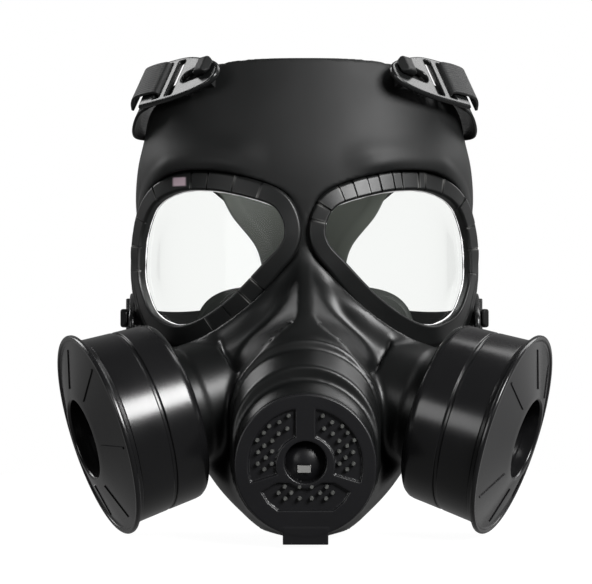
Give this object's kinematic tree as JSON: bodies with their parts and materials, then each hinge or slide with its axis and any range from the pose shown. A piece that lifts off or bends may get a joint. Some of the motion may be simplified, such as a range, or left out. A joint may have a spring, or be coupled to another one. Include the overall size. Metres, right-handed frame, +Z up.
{
  "type": "gas mask style costume mask",
  "caption": "Black full-face gas mask style costume mask with clear eyepieces, stepped muzzle with voice cap, cheek filter drums and a strap harness with back pad.",
  "frame": {"origin": "on the inner face of the nose bridge, midway between the eyes, where the mask is held against the face", "axes": "+X to the viewer's right, +Y backwards through the head, +Z up; the mask looks along -Y"},
  "size_m": [0.2416, 0.2375, 0.2307],
  "materials": {
    "shell_vinyl": "black moulded vinyl, semi-gloss",
    "rim_vinyl": "black moulded vinyl, low gloss",
    "clear_sheet": "clear polycarbonate sheet, glossy",
    "cap_plastic": "black moulded plastic, satin",
    "cup_rubber": "dark grey moulded rubber, matt",
    "drum_plastic": "black moulded plastic, glossy",
    "buckle_nylon": "black nylon, glossy",
    "webbing": "black woven elastic, matt",
    "pad_rubber": "black rubber, matt"
  },
  "bodies": {
    "root": {"face_shell": "shell_vinyl", "eye_rim_right": "rim_vinyl", "eye_rim_left": "rim_vinyl", "lens_right": "clear_sheet", "lens_left": "clear_sheet", "voice_cap": "cap_plastic", "inner_nose_cup": "cup_rubber", "filter_drum_right": "drum_plastic", "filter_drum_left": "drum_plastic", "filter_cover_right": "drum_plastic", "filter_cover_left": "drum_plastic", "upper_buckle_right": "buckle_nylon", "upper_buckle_left": "buckle_nylon", "lower_buckle_right": "buckle_nylon", "lower_buckle_left": "buckle_nylon", "upper_strap_right": "webbing", "upper_strap_left": "webbing", "lower_strap_right": "webbing", "lower_strap_left": "webbing", "back_pad": "pad_rubber"}
  },
  "joints": []
}
